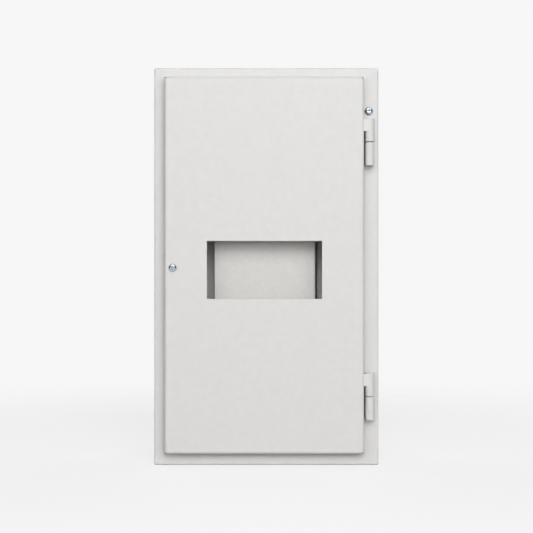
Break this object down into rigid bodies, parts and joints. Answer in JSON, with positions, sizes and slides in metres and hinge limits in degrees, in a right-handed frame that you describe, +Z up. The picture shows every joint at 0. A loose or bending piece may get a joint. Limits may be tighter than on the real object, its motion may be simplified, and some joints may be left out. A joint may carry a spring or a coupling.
{
  "type": "circuit breaker enclosure",
  "caption": "Wall-mounted folded steel enclosure for a moulded-case breaker, with a hinged door, a cut-out for the breaker's front and a depth-adjustable mounting plate.",
  "frame": {"origin": "middle of the back face, at the centre of the four wall bolt holes", "axes": "+Z up along the height, +X towards the hinges, +Y into the wall; the door faces -Y"},
  "size_m": [0.226, 0.1259, 0.4],
  "materials": {
    "powder_coat": "pale grey fine-texture powder coat, satin",
    "galvanised_steel": "hot-dip galvanised sheet, passivated, dull light grey",
    "zinc_fastener": "bright zinc plate",
    "bright_steel": "bright drawn steel",
    "brass": "plain brass",
    "nylon": "natural nylon"
  },
  "bodies": {
    "root": {"box_body": "powder_coat", "closing_rivet_nut": "zinc_fastener", "earth_screw": "zinc_fastener", "earth_weld_nut": "zinc_fastener", "frame_knuckle_upper": "powder_coat", "hinge_pin_upper": "bright_steel", "frame_knuckle_lower": "powder_coat", "hinge_pin_lower": "bright_steel", "plate_stud_upper_left": "bright_steel", "plate_stud_upper_right": "bright_steel", "plate_stud_lower_left": "bright_steel", "plate_stud_lower_right": "bright_steel", "box_earth_stud": "bright_steel", "box_earth_washer": "brass", "box_earth_nut": "brass"},
    "door": {"door_panel": "powder_coat", "door_knuckle_upper": "powder_coat", "door_knuckle_lower": "powder_coat", "door_earth_stud": "bright_steel", "door_earth_washer": "brass", "door_earth_nut": "brass"},
    "plate": {"mounting_plate": "galvanised_steel", "rear_nut_upper_left": "zinc_fastener", "plate_washer_upper_left": "zinc_fastener", "front_nut_upper_left": "zinc_fastener", "rear_nut_upper_right": "zinc_fastener", "plate_washer_upper_right": "zinc_fastener", "front_nut_upper_right": "zinc_fastener", "rear_nut_lower_left": "zinc_fastener", "plate_washer_lower_left": "zinc_fastener", "front_nut_lower_left": "zinc_fastener", "rear_nut_lower_right": "zinc_fastener", "plate_washer_lower_right": "zinc_fastener", "front_nut_lower_right": "zinc_fastener"},
    "screw_keeper": {"retaining_washer": "nylon"},
    "closing_screw": {"closing_screw": "zinc_fastener"}
  },
  "joints": [
    {"name": "door_swing", "type": "hinge", "parent": "root", "child": "door", "pos_m": [0.1037, -0.1175, 0], "axis": [0, 0, 1], "range_deg": [0, 180]},
    {"name": "screw_travel", "type": "slide", "parent": "door", "child": "screw_keeper", "axis": [0, -1, 0], "range_m": [0, 0.007]},
    {"name": "screw_turn", "type": "hinge", "parent": "screw_keeper", "child": "closing_screw", "pos_m": [-0.0935, -0.123, -0.0011], "axis": [0, -1, 0], "range_deg": [0, 3601]},
    {"name": "plate_depth", "type": "slide", "parent": "root", "child": "plate", "axis": [0, 1, 0], "range_m": [0, 0.06]}
  ],
  "couplings": [
    {"joint": "screw_turn", "follows": "screw_travel", "rad_per_m": 8976}
  ]
}
